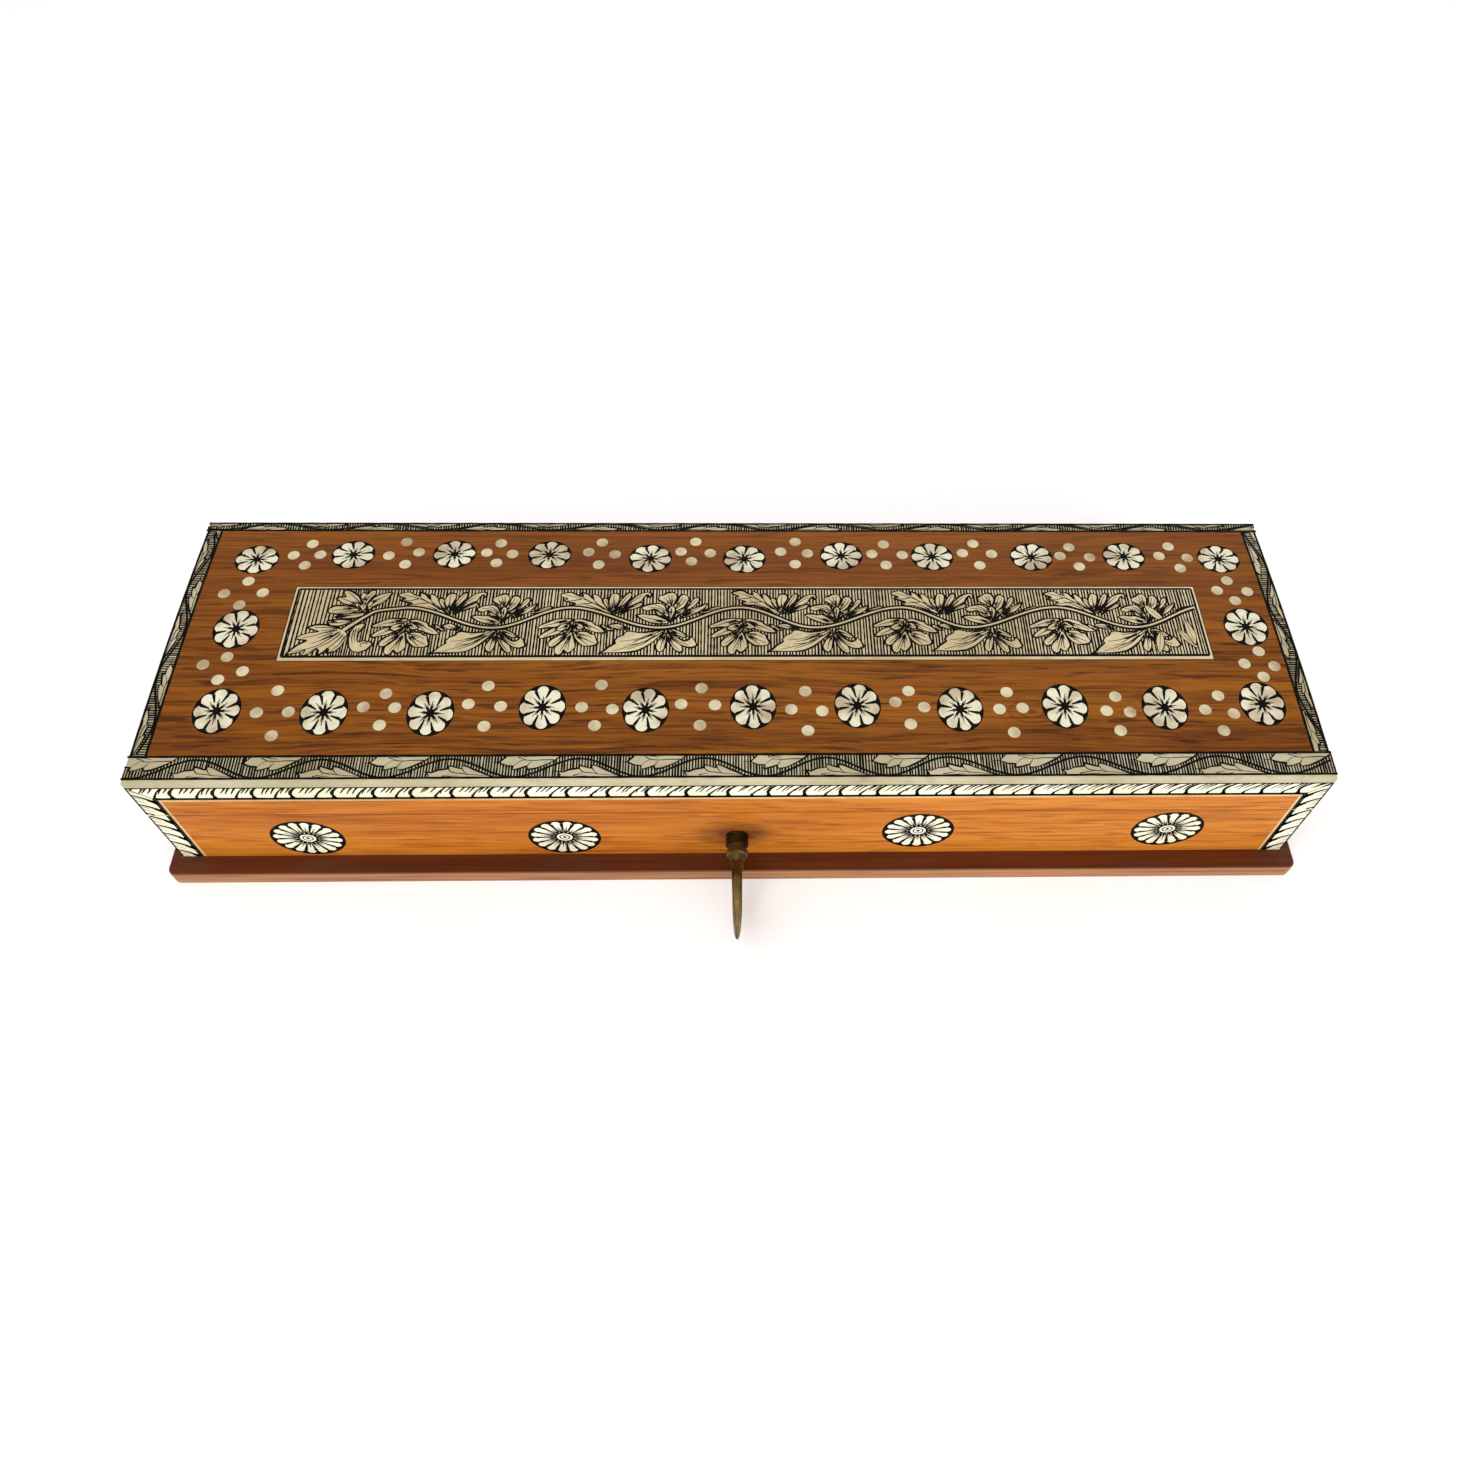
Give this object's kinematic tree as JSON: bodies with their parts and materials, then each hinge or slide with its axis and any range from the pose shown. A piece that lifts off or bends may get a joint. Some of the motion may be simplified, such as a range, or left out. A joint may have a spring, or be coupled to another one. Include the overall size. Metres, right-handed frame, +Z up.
{
  "type": "pencil box",
  "caption": "Long wooden pencil box with a hinged cambered lid, engraved bone borders, panel, rosettes and pegs, a plinth, and a lock with its key.",
  "frame": {"origin": "centre of the plinth's underside", "axes": "+X along the length, front face towards -Y, +Z up through the lid"},
  "size_m": [0.2854, 0.1133, 0.0409],
  "materials": {
    "case_wood": "satin orange-brown hardwood with fine dark grain",
    "plinth_wood": "satin dark red-brown hardwood",
    "inner_wood": "matt pale inner wood",
    "bone": "polished bone engraved and filled with black lac",
    "brass": "aged brass",
    "key_metal": "dark patinated brass"
  },
  "bodies": {
    "case": {"back_rosettes": "bone", "back_wall": "case_wood", "case_back_corner_strips": "bone", "case_end_corner_strips": "bone", "case_front_corner_strips": "bone", "case_stringing": "bone", "end_rosettes": "bone", "floor_lining": "inner_wood", "front_rosettes": "bone", "front_wall": "case_wood", "hinge_case_leaves": "brass", "hinge_case_screws": "brass", "hinge_pins": "brass", "left_wall": "case_wood", "lock_case": "brass", "lock_pin": "brass", "lock_screws": "brass", "partition_left": "inner_wood", "partition_right": "inner_wood", "plinth": "plinth_wood", "right_wall": "case_wood"},
    "lid": {"hinge_lid_leaves": "brass", "hinge_lid_screws": "brass", "lid_back_band": "bone", "lid_back_corner_strips": "bone", "lid_back_rail": "case_wood", "lid_back_stringing": "bone", "lid_board": "case_wood", "lid_end_corner_strips": "bone", "lid_end_stringing": "bone", "lid_front_band": "bone", "lid_front_corner_strips": "bone", "lid_front_rail": "case_wood", "lid_front_stringing": "bone", "lid_left_band": "bone", "lid_left_rail": "case_wood", "lid_right_band": "bone", "lid_right_rail": "case_wood", "strike_plate": "brass", "strike_screws": "brass", "top_border_back": "bone", "top_border_front": "bone", "top_border_left": "bone", "top_border_right": "bone", "top_panel": "bone", "top_pegs": "bone", "top_rosettes": "bone"},
    "key_collar": {"key_collar": "key_metal"},
    "key": {"key": "key_metal"},
    "lock_bolt": {"lock_bolt": "brass"}
  },
  "joints": [
    {"name": "lid_hinge", "type": "hinge", "parent": "case", "child": "lid", "pos_m": [0, 0.0427, 0.025], "axis": [-1, 0, 0], "range_deg": [0, 100]},
    {"name": "key_slide", "type": "slide", "parent": "case", "child": "key_collar", "axis": [0, -1, 0], "range_m": [0, 0.03]},
    {"name": "key_turn", "type": "hinge", "parent": "key_collar", "child": "key", "pos_m": [-0.0003, -0.0405, 0.0133], "axis": [0, -1, 0], "range_deg": [0, 180]},
    {"name": "bolt_slide", "type": "slide", "parent": "case", "child": "lock_bolt", "axis": [-1, 0, 0], "range_m": [0, 0.004]}
  ],
  "couplings": [
    {"joint": "bolt_slide", "follows": "key_turn", "m_per_rad": 0.00127}
  ]
}
